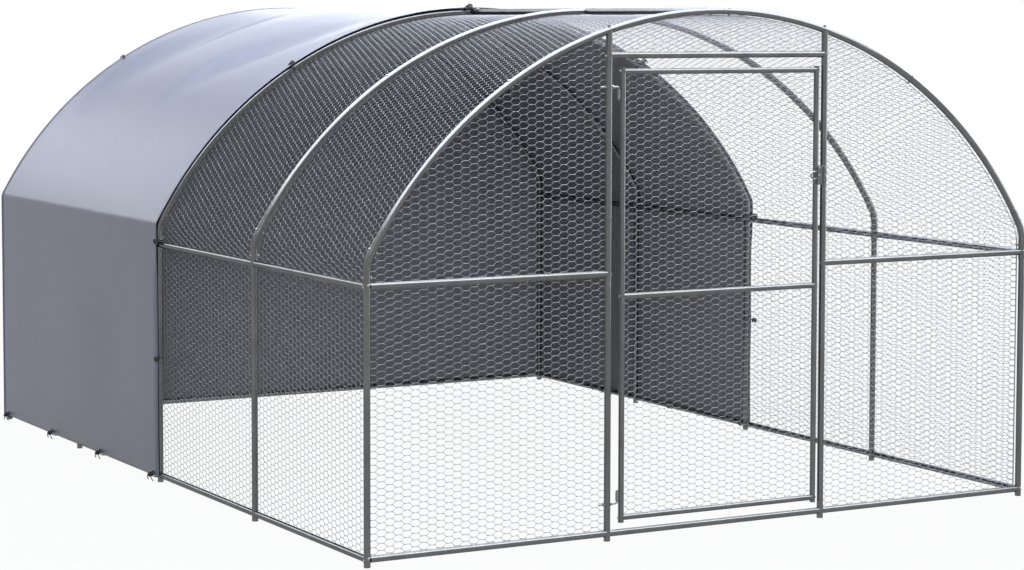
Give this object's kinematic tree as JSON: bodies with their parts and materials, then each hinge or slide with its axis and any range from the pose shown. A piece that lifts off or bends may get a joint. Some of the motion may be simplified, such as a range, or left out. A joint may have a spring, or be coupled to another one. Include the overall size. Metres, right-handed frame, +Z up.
{
  "type": "walk-in chicken run",
  "caption": "Tunnel-shaped walk-in hen run of bolted steel tube and hexagonal wire netting, with a hinged mesh door, a slide latch and a fabric cover over the rear bays.",
  "frame": {"origin": "middle of the footprint at ground level", "axes": "+Z up, +Y along the tunnel from the door gable to the covered back, +X to the right seen from the door"},
  "size_m": [3.0704, 4.0552, 2.035],
  "materials": {
    "tube": "galvanised, satin",
    "wire": "galvanised wire",
    "cover": "woven polyester, silver-grey outside",
    "black_trim": "black webbing and cord",
    "zinc_hardware": "zinc plated",
    "latch_metal": "grey coated"
  },
  "bodies": {
    "frame": {"arch_1": "tube", "arch_2": "tube", "arch_3": "tube", "arch_4": "tube", "arch_5": "tube", "back_net": "wire", "back_sill": "tube", "cover": "cover", "cover_back": "cover", "cover_eyelets": "zinc_hardware", "cover_hem": "cover", "cover_ties": "black_trim", "door_header": "tube", "door_post_left": "tube", "door_post_right": "tube", "eave_elbows_left": "tube", "eave_elbows_right": "tube", "eave_rails_left": "tube", "eave_rails_right": "tube", "frame_screws": "zinc_hardware", "front_net_left": "wire", "front_net_right": "wire", "front_net_top": "wire", "front_rails": "tube", "front_sills": "tube", "ground_rails_left": "tube", "ground_rails_right": "tube", "hinge_nuts": "zinc_hardware", "hinge_pintle_bottom": "zinc_hardware", "hinge_pintle_top": "zinc_hardware", "latch_keeper": "latch_metal", "leg_left_1": "tube", "leg_left_2": "tube", "leg_left_3": "tube", "leg_left_4": "tube", "leg_left_5": "tube", "leg_right_1": "tube", "leg_right_2": "tube", "leg_right_3": "tube", "leg_right_4": "tube", "leg_right_5": "tube", "rail_bolts": "zinc_hardware", "rail_studs": "zinc_hardware", "ridge_tubes": "tube", "roof_net": "wire", "tube_bolts": "zinc_hardware", "tube_nuts": "zinc_hardware", "wall_net_left": "wire", "wall_net_right": "wire"},
    "door": {"door_stile_hinge": "tube", "door_stile_latch": "tube", "door_rails": "tube", "door_net": "wire", "hinge_barrel_top": "zinc_hardware", "hinge_barrel_bottom": "zinc_hardware", "latch_case": "latch_metal", "latch_screws": "zinc_hardware", "door_bolts": "zinc_hardware"},
    "latch": {"latch_bolt": "zinc_hardware"}
  },
  "joints": [
    {"name": "door_hinge", "type": "hinge", "parent": "frame", "child": "door", "pos_m": [-0.449, -2, 0.9], "axis": [0, 0, -1], "range_deg": [0, 110]},
    {"name": "latch_slide", "type": "slide", "parent": "door", "child": "latch", "axis": [1, 0, 0], "range_m": [0, 0.012]}
  ]
}
